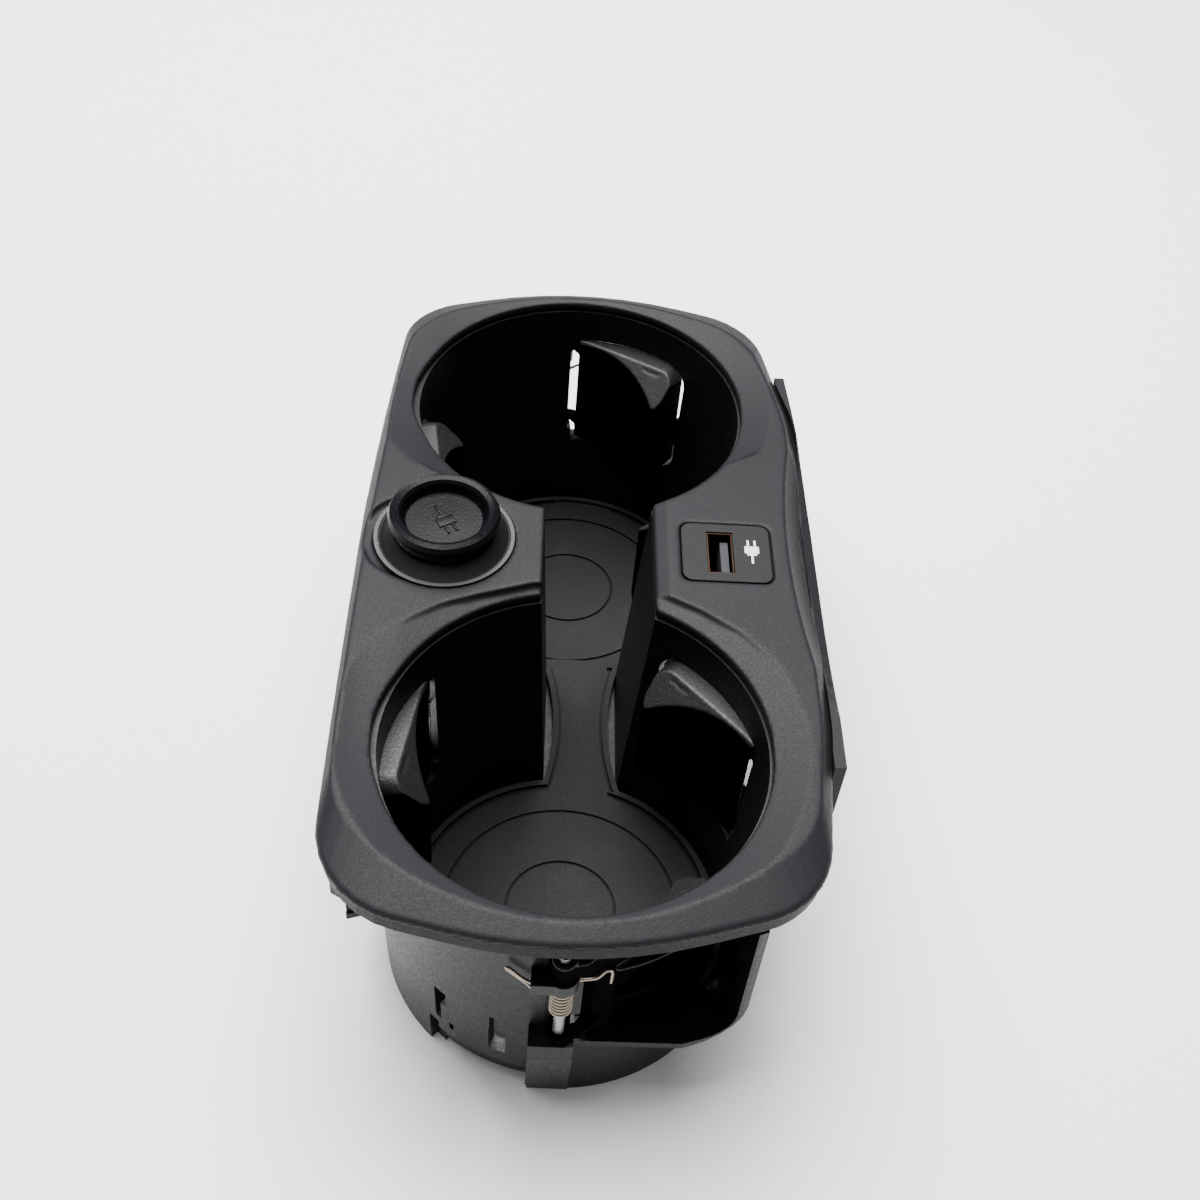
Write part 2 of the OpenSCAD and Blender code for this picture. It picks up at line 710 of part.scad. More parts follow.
module housing() color([0.13, 0.13, 0.135]) {
    difference() {
        union() {
            difference() {
                union() {
                    well_shells();
                    channel_space(0, edge_z, channel_wall);
                    deck();
                }
                every_flap() window();
            }
            bays();
            every_flap() pin_mount();
        }
        well_space();
        every_flap()
            translate([pin_x, 0, rim_h - pin_bottom - 0.1]) cylinder(h = far, r = pin_r + 0.02, $fn = 48);
        slot_cuts();
        floor_hollow();
    }
}

// The mat's flat shape, d inside its edge; the channel part is waisted
module mat_shape(d = 0) {
    at_cups() circle(mat_r - d);
    waist = 2.2;
    left = function (y) -2.9 - waist * pow(y / 18, 2) + d;
    right = function (y) 11.6 + waist * pow(y / 18, 2) - d;
    ys = [for (y = [-21:3:21]) y];
    polygon(concat([for (y = ys) [right(y), y]], [for (i = [len(ys) - 1:-1:0]) [left(ys[i]), ys[i]]]));
}

module mat_half(side, low) {
    intersection() {
        union() {
            difference() {
                translate([0, 0, low]) linear_extrude(mat_t) mat_shape();
                translate([0, side * half, low + mat_t - groove_depth])
                    for (r = [groove_outer_r, groove_inner_r])
                        difference() {
                            cylinder(h = 5, r = r + groove_w / 2);
                            translate([0, 0, -1]) cylinder(h = 7, r = r - groove_w / 2);
                        }
            }
            translate([0, 0, low + mat_t - eps])
                linear_extrude(lip_h + eps) difference() {
                    mat_shape();
                    mat_shape(lip_w);
                }
        }
        if (side < 0)
            translate([-60, -far, 0]) cube([120, far + mat_step_y, rim_h]);
        else
            translate([-60, mat_step_y - eps, 0]) cube([120, far, rim_h]);
    }
}

module rubber_mat() color([0.21, 0.205, 0.21]) {
    mat_half(-1, floor_z + floor_step);
    mat_half(1, floor_z);
    // Riser between the two levels
    intersection() {
        translate([0, 0, floor_z]) linear_extrude(floor_step + mat_t) mat_shape();
        translate([-30, mat_step_y - 1.2, 0]) cube([60, 1.4, rim_h]);
    }
}

// Outer face of the side strip: straight in front, then drawn in towards the rear
strip_back = half + 13.8;
strip_x = edge_corners[3][0] + strip_out;
function strip_face(y) = strip_x - 2.8 * pow(max(y, 0) / strip_back, 2);

module side_strip() color([0.22, 0.22, 0.225]) {
    low = edge_z - strip_h;
    ys = [-half - 4.4, for (i = [0:5]) strip_back * i / 5];
    difference() {
        translate([0, 0, low])
            linear_extrude(strip_h + bezel_edge - 1)
                polygon(concat([for (y = ys) [strip_face(y), y]],
                               [for (i = [len(ys) - 1:-1:0]) [strip_face(ys[i]) - 2, ys[i]]]));
        scoop();
        translate([0, 0, edge_z - free]) linear_extrude(far) outline(-free);
        translate([0, 0, carrier_z - 0.02]) linear_extrude(far) outline(carrier_inset - free);
    }
    // Ledge that hangs the strip under the carrier
    translate([edge_corners[3][0] - deck_inset + free, -half + 4, deck_z])
        cube([deck_inset + 0.4, cup_pitch - 14, deck_t]);
}

module socket_ring() color([0.62, 0.62, 0.63]) translate(socket_place) {
    difference() {
        translate([0, 0, seat_z]) cylinder(h = 1.7, r = ring_r);
        translate([0, 0, seat_z - 1]) cylinder(h = 4, r = ring_r - ring_w);
    }
}

collar_top = crown_z + collar_h;
module socket_collar() color([0.1, 0.1, 0.1]) translate(socket_place) {
    difference() {
        union() {
            translate([0, 0, seat_z]) cylinder(h = 1.5, r = ring_r - ring_w - 0.1);
            translate([0, 0, seat_z + 1.5 - eps])
                cylinder(h = collar_top - seat_z - 1.5 + eps, r1 = ring_r - ring_w - 0.5, r2 = barrel_r + 1.4);
            translate([0, 0, crown_z - 30]) cylinder(h = 30, r = sleeve_r);
        }
        translate([0, 0, crown_z - 31]) cylinder(h = 31 - 1, r = barrel_r + barrel_wall + snug);
        translate([0, 0, 0]) cylinder(h = far, r = barrel_r + 0.2);
    }
}

barrel_top = crown_z - 1 - snug;
module socket_barrel() color([0.7, 0.7, 0.7]) translate(socket_place) {
    difference() {
        translate([0, 0, barrel_top - barrel_len]) cylinder(h = barrel_len, r = barrel_r + barrel_wall);
        translate([0, 0, barrel_top - barrel_len + barrel_wall]) cylinder(h = barrel_len, r = barrel_r);
        translate([0, 0, barrel_top - barrel_len - 1]) cylinder(h = 4, r = 4.2);
    }
}

module socket_insulator() color([0.85, 0.83, 0.78]) translate(socket_place) {
    low = barrel_top - barrel_len;
    difference() {
        union() {
            translate([0, 0, low - 4]) cylinder(h = 4, r = 8);
            translate([0, 0, low - eps]) cylinder(h = barrel_wall + 1.6, r = 4.1);
        }
        translate([0, 0, low - 5]) cylinder(h = 12, r = 1.62);
    }
}

module socket_contact() color([0.72, 0.6, 0.35]) translate(socket_place) {
    low = barrel_top - barrel_len;
    translate([0, 0, low - 9]) cylinder(h = 12.6, r = 1.6, $fn = 32);
    translate([0, 0, low + 2.84]) cylinder(h = 1.6, r = 3.4, $fn = 32);
}

// Rubber cap: plug, neck, hand ring and a sunk middle
module socket_cap() color([0.09, 0.09, 0.095]) translate(socket_place) {
    rest = collar_top + 0.05;
    top = rest + grip_h;
    plug_r = barrel_r - 0.3;
    rotate_extrude()
        polygon([[0, rest - plug_len], [plug_r - 1.2, rest - plug_len], [plug_r, rest - plug_len + 1.4],
                 [plug_r, rest], [barrel_r + 1.1, rest], [barrel_r + 1.1, rest + 0.8],
                 [grip_r - 2, rest + 2.4], [grip_r - 0.5, rest + 3], [grip_r, rest + 4],
                 [grip_r, top - 1.6], [grip_r - 0.5, top - 0.5], [grip_r - 1.5, top],
                 [grip_r - 2.6, top - 0.4], [grip_r - 3.1, top - 1.2], [grip_r - 3.5, top - 3.6],
                 [grip_r - 4.2, top - 3.2], [0, top - 3]]);
}

module usb_panel() color([0.25, 0.25, 0.255]) translate(usb_place) {
    difference() {
        translate([0, 0, crown_z - 1.6]) linear_extrude(1.5) rounded_box(usb_w, usb_d, usb_corner);
        translate([port_x, 0, 0]) linear_extrude(far) square([port_w, port_l], center = true);
    }
}

port_x = -1.4;
port_w = 6.3;
port_l = 13.4;
shell_t = 0.3;

module usb_shell() color([0.75, 0.66, 0.45]) translate(usb_place) translate([port_x, 0, 0]) {
    difference() {
        translate([0, 0, crown_z - 0.4 - port_depth])
            linear_extrude(port_depth) square([port_w - 0.3, port_l - 0.3], center = true);
        translate([0, 0, crown_z - 0.4 - port_depth + shell_t])
            linear_extrude(port_depth)
                square([port_w - 0.3 - 2 * shell_t, port_l - 0.3 - 2 * shell_t], center = true);
    }
}

module usb_tongue() color([0.8, 0.8, 0.8]) translate(usb_place) translate([port_x, 0, 0]) {
    translate([0.35, -5.4, crown_z - 0.4 - port_depth + shell_t]) cube([1.9, 10.8, port_depth - 2.2]);
}

// Box of electronics behind the panel, open for the port
module usb_body() color([0.12, 0.12, 0.12]) translate(usb_place) {
    high = crown_z - 1.6;
    difference() {
        translate([-(usb_w - 3.4) / 2, -(usb_d - 3.4) / 2, high - 22])
            cube([usb_w - 3.4, usb_d - 3.4, 22]);
        translate([port_x - port_w / 2, -port_l / 2, crown_z - 0.4 - port_depth])
            cube([port_w, port_l, far]);
    }
    translate([-5, -4, high - 26]) difference() {
        cube([10, 8, 4 + eps]);
        translate([1, 1, -1]) cube([8, 6, 4]);
    }
}

module screw(p) color([0.7, 0.7, 0.68]) translate([p[0], p[1], 0]) {
    head_h = 1.8;
    difference() {
        union() {
            translate([0, 0, deck_z - head_h]) cylinder(h = head_h, r = 2.9, $fn = 32);
            translate([0, 0, deck_z - eps]) cylinder(h = screw_len, r = screw_r - 0.02, $fn = 32);
        }
        for (a = [0, 90])
            translate([0, 0, deck_z - head_h - eps]) rotate([0, 0, a])
                translate([-1.6, -0.35, -1]) cube([3.2, 0.7, 2]);
    }
}

module screw_front_left() screw(screw_places[0]);
module screw_front_right() screw(screw_places[1]);
module screw_rear_left() screw(screw_places[2]);
module screw_rear_right() screw(screw_places[3]);

bezel();
carrier();
housing();
rubber_mat();
side_strip();
socket_ring();
socket_collar();
socket_barrel();
socket_insulator();
socket_contact();
socket_cap();
usb_panel();
usb_shell();
usb_tongue();
usb_body();
flap_front_bay();
flap_front_right();
flap_front_left();
flap_rear_bay();
flap_rear_right();
flap_rear_left();
pin_front_bay();
pin_front_right();
pin_front_left();
pin_rear_bay();
pin_rear_right();
pin_rear_left();
spring_front_bay();
spring_front_right();
spring_front_left();
spring_rear_bay();
spring_rear_right();
spring_rear_left();
screw_front_left();
screw_front_right();
screw_rear_left();
screw_rear_right();
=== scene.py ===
# %% [markdown]
# A twin cup holder from a car's centre console is dressed here for its photograph.
# The exact solids come from the CAD frame. Blender adds the finishes, the rounded
# edges, the real spring wire, the camera and the light.

# %% Load the frame
import json
import math
import bpy
from mathutils import Matrix, Vector


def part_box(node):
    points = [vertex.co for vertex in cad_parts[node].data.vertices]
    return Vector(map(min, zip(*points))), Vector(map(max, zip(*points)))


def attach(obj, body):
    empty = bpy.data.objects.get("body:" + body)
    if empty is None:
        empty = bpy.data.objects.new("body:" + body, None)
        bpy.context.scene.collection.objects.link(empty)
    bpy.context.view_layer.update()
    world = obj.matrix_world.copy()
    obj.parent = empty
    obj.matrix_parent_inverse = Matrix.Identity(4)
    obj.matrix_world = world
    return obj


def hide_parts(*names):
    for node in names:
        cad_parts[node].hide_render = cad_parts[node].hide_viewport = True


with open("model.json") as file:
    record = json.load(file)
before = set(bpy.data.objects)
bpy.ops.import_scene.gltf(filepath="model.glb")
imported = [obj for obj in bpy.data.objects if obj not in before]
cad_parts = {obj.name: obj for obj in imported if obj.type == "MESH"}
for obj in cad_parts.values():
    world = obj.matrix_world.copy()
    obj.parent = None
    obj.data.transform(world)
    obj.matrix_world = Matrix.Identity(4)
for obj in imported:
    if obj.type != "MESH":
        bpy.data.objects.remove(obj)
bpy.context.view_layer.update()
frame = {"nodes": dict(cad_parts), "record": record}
MM = 0.001
nodes = frame["nodes"]

# %% [markdown]
# Every finish below reads Object coordinates. All the objects sit at the origin, so one
# millimetre in a pattern is one millimetre on the part, and a grain can be given its real size.

# %% Helpers for node materials
def new_material(name):
    material = bpy.data.materials.new(name)
    material.use_nodes = True
    return material, material.node_tree, material.node_tree.nodes["Principled BSDF"]


def noise(tree, size_mm, detail=2.0, stretch=(1, 1, 1)):
    """A noise pattern whose blobs are about size_mm across."""
    coords = tree.nodes.new("ShaderNodeTexCoord")
    mapping = tree.nodes.new("ShaderNodeMapping")
    mapping.inputs["Scale"].default_value = stretch
    pattern = tree.nodes.new("ShaderNodeTexNoise")
    pattern.inputs["Scale"].default_value = 1 / (size_mm * MM)
    pattern.inputs["Detail"].default_value = detail
    tree.links.new(coords.outputs["Object"], mapping.inputs["Vector"])
    tree.links.new(mapping.outputs["Vector"], pattern.inputs["Vector"])
    return pattern.outputs["Fac"]


def ramp(tree, source, stops):
    """Maps a pattern's value to colours or greys, from (place, value) stops."""
    node = tree.nodes.new("ShaderNodeValToRGB")
    while len(node.color_ramp.elements) < len(stops):
        node.color_ramp.elements.new(0.5)
    for element, (place, value) in zip(node.color_ramp.elements, stops):
        element.position = place
        element.color = (*value, 1) if hasattr(value, "__len__") else (value, value, value, 1)
    tree.links.new(source, node.inputs["Fac"])
    return node.outputs["Color"]


def bump(tree, shader, height, depth_mm, strength=1.0):
    """Raises the surface by a pattern, depth_mm deep."""
    node = tree.nodes.new("ShaderNodeBump")
    node.inputs["Strength"].default_value = strength
    node.inputs["Distance"].default_value = depth_mm * MM
    if shader.inputs["Normal"].links:
        tree.links.new(shader.inputs["Normal"].links[0].from_socket, node.inputs["Normal"])
    tree.links.new(height, node.inputs["Height"])
    tree.links.new(node.outputs["Normal"], shader.inputs["Normal"])


def scaled(colour, factor):
    return tuple(min(1, c * factor) for c in colour)


def calc(tree, operation, a, b=0.0):
    """One Math node; a and b are numbers or sockets."""
    node = tree.nodes.new("ShaderNodeMath")
    node.operation = operation
    for socket, value in zip(node.inputs, (a, b)):
        if isinstance(value, (int, float)):
            socket.default_value = value
        else:
            tree.links.new(value, socket)
    return node.outputs[0]


def place_mm(tree):
    """The x, y and z of a point of the surface, in millimetres."""
    coords = tree.nodes.new("ShaderNodeTexCoord")
    split = tree.nodes.new("ShaderNodeSeparateXYZ")
    tree.links.new(coords.outputs["Object"], split.inputs["Vector"])
    return [calc(tree, "MULTIPLY", split.outputs[axis], 1 / MM) for axis in "XYZ"]


def line_at(tree, value, middle, half_width):
    """1 where the value lies on a line, 0 elsewhere."""
    off = calc(tree, "ABSOLUTE", calc(tree, "SUBTRACT", value, middle))
    return calc(tree, "LESS_THAN", off, half_width)


def paint(tree, shader, amount, colour):
    """Lays a flat colour over the base colour where the amount is 1."""
    blend = tree.nodes.new("ShaderNodeMix")
    blend.data_type = "RGBA"
    tree.links.new(amount, blend.inputs["Factor"])
    tree.links.new(shader.inputs["Base Color"].links[0].from_socket, blend.inputs["A"])
    blend.inputs["B"].default_value = (*colour, 1)
    tree.links.new(blend.outputs["Result"], shader.inputs["Base Color"])


print("helpers ready")

# %% [markdown]
# Car trim is moulded with a fine leather-like grain, which breaks the light into tiny specks.
# One recipe makes all the moulded plastics here: a base colour that drifts a little over
# centimetres, a grain bump of under a millimetre, and a roughness that follows the grain.

# %% Moulded plastic and rubber
def moulded(name, colour, rough, grain_mm, grain_depth, drift=0.12, drift_mm=30, spec=0.5):
    material, tree, shader = new_material(name)
    clouds = noise(tree, drift_mm, 4)
    tree.links.new(ramp(tree, clouds, [(0.3, scaled(colour, 1 - drift)), (0.7, scaled(colour, 1 + drift))]),
                   shader.inputs["Base Color"])
    grain = noise(tree, grain_mm, 3)
    tree.links.new(ramp(tree, grain, [(0.3, rough - 0.08), (0.7, min(1, rough + 0.08))]),
                   shader.inputs["Roughness"])
    bump(tree, shader, grain, grain_depth)
    shader.inputs["Specular IOR Level"].default_value = spec
    return material


soft_trim = moulded("soft_trim", (0.0085, 0.0085, 0.0102), 0.52, 0.5, 0.05, drift=0.06, spec=0.15)
strip_trim = moulded("strip_trim", (0.0085, 0.0085, 0.0102), 0.52, 0.5, 0.05, drift=0.06, spec=0.15)
carrier_black = moulded("carrier_black", (0.004, 0.004, 0.005), 0.5, 0.6, 0.06, spec=0.1)
# flap_shade is painted shade: a near-black, dull material for the flap faces that lie in shade inside the
# cup.
flap_shade = moulded("flap_shade", (0.0006, 0.0006, 0.0007), 0.75, 0.7, 0.03, spec=0.01)
flap_grain = moulded("flap_grain", (0.006, 0.0058, 0.0065), 0.5, 0.7, 0.1, spec=0.42)
panel_satin = moulded("panel_satin", (0.006, 0.006, 0.0065), 0.5, 0.4, 0.03, drift=0.05, spec=0.16)
module_black = moulded("module_black", (0.006, 0.006, 0.006), 0.5, 0.8, 0.05, spec=0.13)
collar_black = moulded("collar_black", (0.006, 0.006, 0.007), 0.5, 0.8, 0.03, spec=0.12)
insulator_cream = moulded("insulator_cream", (0.6, 0.56, 0.48), 0.5, 1.0, 0.03)
print("moulded finishes ready")

# %% [markdown]
# The housing of a used cup holder is scuffed: faint pale rubs run across its satin black.
# The rubber mat has pale dried stains, and the cap's rubber glistens with small worn specks.
# Each is the moulded recipe with one more pattern over it.

# %% Worn finishes
def worn(name, colour, rough, grain_mm, grain_depth, rub_colour, rub_mm, stretch, cut, spec=0.5):
    material = moulded(name, colour, rough, grain_mm, grain_depth, spec=spec)
    tree = material.node_tree
    shader = tree.nodes["Principled BSDF"]
    paint(tree, shader, ramp(tree, noise(tree, rub_mm, 6, stretch), [(cut, 0.0), (min(1, cut + 0.16), 1.0)]),
          rub_colour)
    return material


housing_satin = worn("housing_satin", (0.0035, 0.0035, 0.004), 0.42, 0.9, 0.03,
                     (0.007, 0.007, 0.008), 9, (1, 1, 3), 0.56, spec=0.19)
mat_rubber = worn("mat_rubber", (0.0105, 0.0098, 0.0105), 0.6, 0.8, 0.06,
                  (0.014, 0.013, 0.014), 14, (1, 1, 1), 0.6, spec=0.09)
cap_rubber = worn("cap_rubber", (0.003, 0.003, 0.004), 0.32, 0.7, 0.05,
                  (0.02, 0.02, 0.022), 0.9, (1, 1, 1), 0.78, spec=0.09)
print("worn finishes ready")

# %% [markdown]
# Painted shade: narrow gaps and grooves are painted near black, standing in for the shade that falls into
# them. These are the shadow gap under the bezel's edge, the gap round the USB panel, and on the mat the
# grooves, the foot of the raised lip and its edge along the channel. Each line is painted by the distance
# from its own named place on the part.

# %% Painted shade in seams and grooves
HALF_PITCH = 55.2
SHADOW_LINE_Z, SHADOW_LINE_HALF = 72.7, 0.95
GAP_W = 0.35
USB_MIDDLE, USB_HALF = (34.8, 0.3), (10.45, 9.3)
GROOVES, LIP_FOOT, WAIST_X, WAIST_HALF = (28.4, 13.2), 35.7, 4.35, 5.4
GROOVE_HALF, FOOT_HALF, EDGE_HALF = 0.42, 0.45, 0.4
WAIST_SWELL, SWELL_AT, WAIST_END, FOOT_CLEAR = 2.2, 18, 20.6, 3.2
# The colour of the painted shade lines, near black.
SHADE_LINE_BLACK = (0.0025, 0.0025, 0.003)


def paint_shade_lines(material, lines):
    """Paints near-black painted shade on every line that the function lines gives for a place on the part.
    """
    tree = material.node_tree
    shader = tree.nodes["Principled BSDF"]
    for amount in lines(tree, *place_mm(tree)):
        paint(tree, shader, amount, SHADE_LINE_BLACK)


# Painted shade: a near-black band along the bezel's bottom edge, standing in for the shadow in the gap above
# the carrier.
def bezel_shadow_line(tree, x, y, z):
    return [line_at(tree, z, SHADOW_LINE_Z, SHADOW_LINE_HALF)]


# Painted shade: a near-black line along the outer edge of the USB panel, standing in for the shade in the
# gap round it.
def panel_gap_shade(tree, x, y, z):
    across = calc(tree, "ABSOLUTE", calc(tree, "SUBTRACT", x, USB_MIDDLE[0]))
    along = calc(tree, "ABSOLUTE", calc(tree, "SUBTRACT", y, USB_MIDDLE[1]))
    return [calc(tree, "GREATER_THAN", across, USB_HALF[0] - GAP_W),
            calc(tree, "GREATER_THAN", along, USB_HALF[1] - GAP_W)]


# Painted shade: near-black lines in the mat's grooves, at the foot of its lip and along its edge in the
# channel, standing in for the shade in these creases.
def mat_groove_shade(tree, x, y, z):
    away = calc(tree, "ABSOLUTE", y)
    leg = calc(tree, "SUBTRACT", away, HALF_PITCH)
    from_cup = calc(tree, "SQRT", calc(tree, "ADD", calc(tree, "POWER", calc(tree, "ABSOLUTE", leg), 2),
                                       calc(tree, "POWER", calc(tree, "ABSOLUTE", x), 2)))
    aside = calc(tree, "ABSOLUTE", calc(tree, "SUBTRACT", x, WAIST_X))
    bulge = calc(tree, "POWER", calc(tree, "DIVIDE", away, SWELL_AT), 2)
    swell = calc(tree, "MULTIPLY", bulge, WAIST_SWELL)
    waist = calc(tree, "SUBTRACT", aside, swell)
    lines = [line_at(tree, from_cup, radius, GROOVE_HALF) for radius in GROOVES]
    lines.append(calc(tree, "MULTIPLY", line_at(tree, from_cup, LIP_FOOT, FOOT_HALF),
                      calc(tree, "GREATER_THAN", aside, WAIST_HALF + FOOT_CLEAR)))
    lines.append(calc(tree, "MULTIPLY", line_at(tree, waist, WAIST_HALF, EDGE_HALF),
                      calc(tree, "LESS_THAN", away, WAIST_END)))
    return lines


paint_shade_lines(soft_trim, bezel_shadow_line)
paint_shade_lines(panel_satin, panel_gap_shade)
paint_shade_lines(mat_rubber, mat_groove_shade)
print("seams painted")

# %% [markdown]
# The metal pieces are small but bright: drawn steel wire in the springs, turned pins,
# a satin silver ring round the power socket and plated sheet inside the USB port.

# %% Metals
def metal(name, colour, rough, scratch_mm=0.6, stretch=(1, 1, 6), depth=0.01):
    material, tree, shader = new_material(name)
    shader.inputs["Metallic"].default_value = 1
    lines = noise(tree, scratch_mm, 3, stretch)
    tree.links.new(ramp(tree, lines, [(0.3, scaled(colour, 0.85)), (0.7, scaled(colour, 1.1))]),
                   shader.inputs["Base Color"])
    tree.links.new(ramp(tree, lines, [(0.3, rough - 0.05), (0.7, rough + 0.08)]), shader.inputs["Roughness"])
    bump(tree, shader, lines, depth)
    return material


spring_wire = metal("spring_wire", (0.3, 0.255, 0.2), 0.36)
pin_steel = metal("pin_steel", (0.34, 0.34, 0.33), 0.3)
ring_silver = metal("ring_silver", (0.055, 0.055, 0.058), 0.5)
barrel_steel = metal("barrel_steel", (0.5, 0.5, 0.5), 0.35)
contact_brass = metal("contact_brass", (0.6, 0.45, 0.22), 0.3)
port_plate = metal("port_plate", (0.028, 0.015, 0.009), 0.3)
screw_zinc = metal("screw_zinc", (0.5, 0.5, 0.49), 0.35)
tongue_grey = moulded("tongue_grey", (0.02, 0.021, 0.024), 0.5, 1.0, 0.02, spec=0.2)
print("metals ready")

# %% [markdown]
# The solids keep their exact shapes. Each CAD node gets its finish here; the pieces that
# need softer edges are copied and rounded in the next steps.

# %% Finishes for the CAD nodes
FINISHES = {
    "bezel": soft_trim, "side_strip": strip_trim, "carrier": carrier_black, "housing": housing_satin,
    "rubber_mat": mat_rubber, "socket_ring": ring_silver, "socket_collar": collar_black,
    "socket_barrel": barrel_steel, "socket_insulator": insulator_cream, "socket_contact": contact_brass,
    "socket_cap": cap_rubber, "usb_panel": panel_satin, "usb_shell": port_plate,
    "usb_tongue": tongue_grey, "usb_body": module_black,
}
STARTS = {"flap": flap_grain, "pin": pin_steel, "spring": spring_wire, "screw": screw_zinc}


def finish_of(name):
    return FINISHES.get(name) or STARTS[name.split("_")[0]]


for name, node in nodes.items():
    node.data.materials.clear()
    node.data.materials.append(finish_of(name))
print("finished nodes", len(nodes))

# %% [markdown]
# CAD faces meet in sharp edges, and a moulding never has one. A Bevel modifier is the usual
# way to round them, but on a mesh of long thin triangles it leaves creases. So a copy of the
# node is merged into one skin, and for the flaps and the bezel Remesh turns it into even
# squares and Smooth eases its edges. The carrier and the side strip are only merged.

# %% Tools for copies of the CAD nodes
MERGE_MM = 0.004


def deselect_all():
    bpy.ops.object.select_all(action="DESELECT")


def pick(obj):
    deselect_all()
    obj.select_set(True)
    bpy.context.view_layer.objects.active = obj


def body_of_node(name):
    return next(b for b, names in frame["record"]["behaviour"]["bodies"].items() if name in names)


def merged_copy(name):
    """A copy of a CAD node with its triangles joined into one skin."""
    node = nodes[name]
    mesh = node.data.copy()
    piece = bpy.data.objects.new(name + "_shown", mesh)
    bpy.context.scene.collection.objects.link(piece)
    pick(piece)
    bpy.ops.object.mode_set(mode="EDIT")
    bpy.ops.mesh.select_all(action="SELECT")
    bpy.ops.mesh.remove_doubles(threshold=MERGE_MM * MM)
    bpy.ops.object.mode_set(mode="OBJECT")
    return piece


def seat(piece, name):
    """The piece takes the node's place on its body and the node's finish."""
    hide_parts(name)
    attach(piece, body_of_node(name))
    piece.data.materials.clear()
    piece.data.materials.append(finish_of(name))


def apply_modifier(piece, kind, **settings):
    modifier = piece.modifiers.new(kind.lower(), kind)
    for key, value in settings.items():
        setattr(modifier, key, value)
    pick(piece)
    bpy.ops.object.modifier_apply(modifier=modifier.name)


def even_grid(piece, voxel_mm):
    apply_modifier(piece, "REMESH", mode="VOXEL", voxel_size=voxel_mm * MM)


def eased_edges(piece, rounds, factor=0.5):
    apply_modifier(piece, "SMOOTH", factor=factor, iterations=rounds)
    bpy.ops.object.shade_smooth()


print("mesh tools ready")

# %% [markdown]
# A flap is a hollow moulding, and its sloping top is thinnest just over the hollow. A small
# plate is joined on there from inside, in the flap's own frame, before the mesh is made even.
# In the photograph the flap's steep sides and its hollow back are nearly black. The light of this scene
# reaches in further than that, so the faces there get painted shade: a near-black, dull material standing in
# for the shade inside the cup, darker and duller than the sloping top. They are picked by their normal and
# height.

# %% Flaps
PIN_ANGLES = {"front_bay": -91, "front_right": 7.5, "front_left": 137,
              "rear_bay": -96, "rear_right": 7.5, "rear_left": 137}
PIN_LEAD = 5
FLAP_TOP_Z, NOSE_DROP = 63.0, 8.0
BACK_EDGE, BACK_RIDGE, NOSE_TIP = (42.5, 0.0), (38.2, 44.5), (30.5, 43.5)
SHADE_TOP, STEEP = 52, 0.2
FLAP_GRID, BEZEL_GRID, EASE_ROUNDS = 0.32, 0.5, 3
PLATE_LOW, PLATE_HIGH = (0.1, -27.5, -1.5), (2.0, -20.0, -0.15)


def polar(radius, degrees):
    return Vector((radius * math.cos(math.radians(degrees)), radius * math.sin(math.radians(degrees)), 0))


def at_flap(point, where):
    """A point beside a flap's pin, moved to that flap; the rear cup mirrors the front one."""
    a = math.radians(PIN_ANGLES[where])
    x = point.x * math.cos(a) - point.y * math.sin(a)
    y = point.x * math.sin(a) + point.y * math.cos(a) - HALF_PITCH
    return Vector((x, y if where.startswith("front") else -y, point.z)) * MM


def slope_frame():
    """The frame of a flap's sloping top: x runs down the slope, z stands off it."""
    edge, ridge, tip = polar(*BACK_EDGE), polar(*BACK_RIDGE), polar(*NOSE_TIP)
    along = (ridge - edge).normalized()
    inner = Vector((-along.y, along.x, 0))
    fall = math.atan2(NOSE_DROP, (tip - edge).dot(inner))
    lead = Matrix.Rotation(math.radians(PIN_LEAD), 4, "Z")
    lift = Matrix.Translation(edge + Vector((0, 0, FLAP_TOP_Z)))
    face_inwards = Matrix.Rotation(math.atan2(inner.y, inner.x), 4, "Z")
    return lead @ lift @ face_inwards @ Matrix.Rotation(fall, 4, "Y")


def top_plate(where):
    deselect_all()
    bpy.ops.mesh.primitive_cube_add(size=1)
    plate = bpy.context.object
    frame_here = slope_frame()
    low, high = Vector(PLATE_LOW), Vector(PLATE_HIGH)
    for corner in plate.data.vertices:
        spot = Vector([h if c > 0 else l for c, l, h in zip(corner.co, low, high)])
        corner.co = at_flap(frame_here @ spot, where)
    bpy.ops.object.mode_set(mode="EDIT")
    bpy.ops.mesh.select_all(action="SELECT")
    bpy.ops.mesh.normals_make_consistent(inside=False)
    bpy.ops.object.mode_set(mode="OBJECT")
    return plate


for where in PIN_ANGLES:
    flap = merged_copy("flap_" + where)
    plate = top_plate(where)
    apply_modifier(flap, "BOOLEAN", object=plate, operation="UNION", solver="EXACT")
    bpy.data.objects.remove(plate)
    even_grid(flap, FLAP_GRID)
    eased_edges(flap, EASE_ROUNDS)
    seat(flap, "flap_" + where)
    # Painted shade: the steep faces and everything below SHADE_TOP get the near-black flap_shade material.
    flap.data.materials.append(flap_shade)
    for face in flap.data.polygons:
        if face.normal.z < STEEP or face.center.z < SHADE_TOP * MM:
            face.material_index = len(flap.data.materials) - 1
    print(flap.name, "polygons", len(flap.data.polygons))

# %% [markdown]
# The bezel has large soft curves. Two cuts are taken from its copy first: a narrow sloping
# band along the right panel's channel edge, and a round at each corner where a panel's
# channel edge meets a mouth. A Boolean modifier takes a cutter's shape away. The copy then
# becomes an even mesh of small squares, and Smooth eases its edges.

